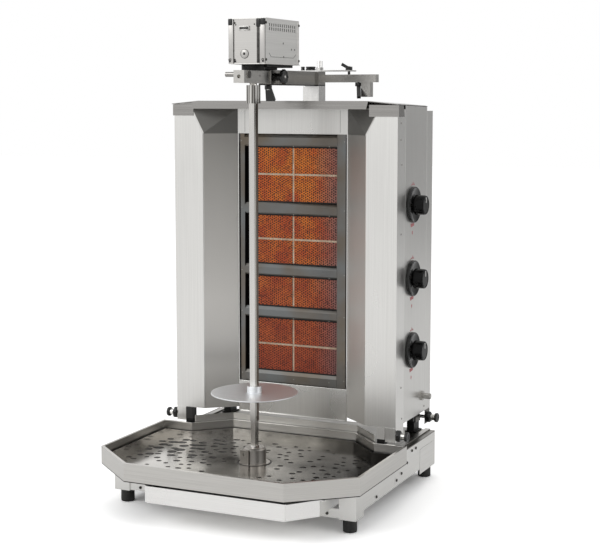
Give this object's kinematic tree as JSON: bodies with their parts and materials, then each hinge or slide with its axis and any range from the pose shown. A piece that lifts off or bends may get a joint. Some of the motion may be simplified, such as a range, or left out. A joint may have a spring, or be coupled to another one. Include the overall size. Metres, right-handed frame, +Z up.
{
  "type": "gas doner kebab grill",
  "caption": "Upright gas grill with glowing ceramic burners behind a turning spit, on a base with a perforated grease tray and a sliding drawer.",
  "frame": {"origin": "on the counter, under the middle of the grill's overall box", "axes": "+X to the operator's right, where the gas knobs are, +Y to the rear, +Z up"},
  "size_m": [0.6138, 0.6244, 1.054],
  "materials": {
    "steel": "fine brushed stainless steel",
    "bright_steel": "ground stainless steel",
    "tray_steel": "worn stainless steel",
    "dark_steel": "dull stainless steel",
    "black_steel": "black coated steel",
    "bolt_steel": "plated steel",
    "black_plastic": "moulded black plastic",
    "knob_plastic": "gloss black knob",
    "bezel_plastic": "gloss black bezel",
    "rubber": "matt black rubber",
    "aluminium": "satin anodised",
    "brass": "turned brass",
    "cast_metal": "cast gear housing",
    "glowing_ceramic": "perforated ceramic, glowing",
    "cement": "refractory cement"
  },
  "bodies": {
    "base": {"rubber_feet": "rubber", "base_bolts": "bolt_steel", "base_legs": "steel", "base_rails": "steel", "rear_deck": "dark_steel", "slide_posts": "black_steel", "slide_blocks": "black_plastic", "drawer_runners": "steel", "tray_rim": "steel", "perforated_tray": "tray_steel", "spit_foot": "bright_steel"},
    "drawer": {"grease_drawer": "steel", "drawer_front": "steel"},
    "tower": {"arm_post": "bright_steel", "burner_bodies": "dark_steel", "burner_frame": "bright_steel", "burner_surround": "steel", "ceramic_tiles": "glowing_ceramic", "columns": "steel", "control_panel": "steel", "cross_bar": "bright_steel", "end_fascias": "steel", "foot_brackets": "bright_steel", "gas_manifold": "brass", "gas_pipework": "brass", "gas_valves": "brass", "knob_bezels": "bezel_plastic", "rear_cover": "steel", "roof": "steel", "side_cover": "steel", "slide_tube": "bright_steel", "tile_cement": "cement", "top_plate": "bright_steel", "tower_floor": "dark_steel", "tower_screws": "bolt_steel"},
    "arm": {"arm_bar": "bright_steel", "arm_rod": "bright_steel", "motor_base": "black_steel", "gear_motor": "cast_metal", "motor_case": "aluminium", "motor_front_plate": "aluminium", "motor_sockets": "black_plastic", "case_screws": "black_steel"},
    "spit": {"drive_shaft": "bright_steel", "spit_bar": "bright_steel"},
    "meat_disc": {"meat_disc": "bright_steel"},
    "valve_spindle_1": {"valve_spindle_1": "bolt_steel"},
    "gas_knob_1": {"gas_knob_1": "knob_plastic"},
    "valve_spindle_2": {"valve_spindle_2": "bolt_steel"},
    "gas_knob_2": {"gas_knob_2": "knob_plastic"},
    "valve_spindle_3": {"valve_spindle_3": "bolt_steel"},
    "gas_knob_3": {"gas_knob_3": "knob_plastic"},
    "star_knob_front_right": {"star_knob_front_right": "black_plastic"},
    "star_knob_rear_right": {"star_knob_rear_right": "black_plastic"},
    "star_knob_front_left": {"star_knob_front_left": "black_plastic"},
    "star_knob_rear_left": {"star_knob_rear_left": "black_plastic"},
    "clamp_knob": {"clamp_knob": "black_plastic"},
    "arm_lever": {"arm_lever": "black_plastic"},
    "plate_lever": {"plate_lever": "black_plastic"},
    "bar_lever": {"bar_lever": "black_plastic"}
  },
  "joints": [
    {"name": "drawer_slide", "type": "slide", "parent": "base", "child": "drawer", "axis": [0, -1, 0], "range_m": [0, 0.25]},
    {"name": "tower_slide", "type": "slide", "parent": "base", "child": "tower", "axis": [0, -1, 0], "range_m": [0, 0.025]},
    {"name": "arm_slide", "type": "slide", "parent": "tower", "child": "arm", "axis": [0, 1, 0], "range_m": [0, 0.025]},
    {"name": "spit_turn", "type": "hinge", "parent": "arm", "child": "spit", "pos_m": [-0.0014, -0.06475, 0.9], "axis": [0, 0, 1], "continuous": true},
    {"name": "disc_height", "type": "slide", "parent": "spit", "child": "meat_disc", "axis": [0, 0, 1], "range_m": [-0.045, 0.3]},
    {"name": "valve_turn_1", "type": "hinge", "parent": "tower", "child": "valve_spindle_1", "pos_m": [0.2736, 0.17525, 0.322], "axis": [1, 0, 0], "range_deg": [0, 210]},
    {"name": "knob_push_1", "type": "slide", "parent": "valve_spindle_1", "child": "gas_knob_1", "axis": [-1, 0, 0], "range_m": [0, 0.004], "stiffness_N_per_m": 600, "springref_m": -0.002},
    {"name": "valve_turn_2", "type": "hinge", "parent": "tower", "child": "valve_spindle_2", "pos_m": [0.2736, 0.17525, 0.485], "axis": [1, 0, 0], "range_deg": [0, 210]},
    {"name": "knob_push_2", "type": "slide", "parent": "valve_spindle_2", "child": "gas_knob_2", "axis": [-1, 0, 0], "range_m": [0, 0.004], "stiffness_N_per_m": 600, "springref_m": -0.002},
    {"name": "valve_turn_3", "type": "hinge", "parent": "tower", "child": "valve_spindle_3", "pos_m": [0.2736, 0.17525, 0.65], "axis": [1, 0, 0], "range_deg": [0, 210]},
    {"name": "knob_push_3", "type": "slide", "parent": "valve_spindle_3", "child": "gas_knob_3", "axis": [-1, 0, 0], "range_m": [0, 0.004], "stiffness_N_per_m": 600, "springref_m": -0.002},
    {"name": "star_knob_front_right_turn", "type": "hinge", "parent": "base", "child": "star_knob_front_right", "pos_m": [0.2736, 0.08425, 0.145], "axis": [1, 0, 0], "range_deg": [0, 270]},
    {"name": "star_knob_rear_right_turn", "type": "hinge", "parent": "base", "child": "star_knob_rear_right", "pos_m": [0.2736, 0.28625, 0.145], "axis": [1, 0, 0], "range_deg": [0, 270]},
    {"name": "star_knob_front_left_turn", "type": "hinge", "parent": "base", "child": "star_knob_front_left", "pos_m": [-0.2764, 0.08425, 0.145], "axis": [-1, 0, 0], "range_deg": [0, 270]},
    {"name": "star_knob_rear_left_turn", "type": "hinge", "parent": "base", "child": "star_knob_rear_left", "pos_m": [-0.2764, 0.28625, 0.145], "axis": [-1, 0, 0], "range_deg": [0, 270]},
    {"name": "clamp_knob_turn", "type": "hinge", "parent": "tower", "child": "clamp_knob", "pos_m": [0.0136, 0.02325, 0.932], "axis": [1, 0, 0], "range_deg": [0, 270]},
    {"name": "arm_lever_turn", "type": "hinge", "parent": "tower", "child": "arm_lever", "pos_m": [-0.0014, 0.00825, 0.914], "axis": [0, 0, 1], "range_deg": [-60, 60]},
    {"name": "plate_lever_turn", "type": "hinge", "parent": "tower", "child": "plate_lever", "pos_m": [0.0866, 0.25525, 0.95], "axis": [0, 0, 1], "range_deg": [-30, 90]},
    {"name": "bar_lever_turn", "type": "hinge", "parent": "tower", "child": "bar_lever", "pos_m": [0.1106, 0.25525, 0.922], "axis": [0, 0, 1], "range_deg": [-90, 0]}
  ],
  "couplings": [
    {"joint": "arm_slide", "follows": "tower_slide", "ratio": 1}
  ]
}
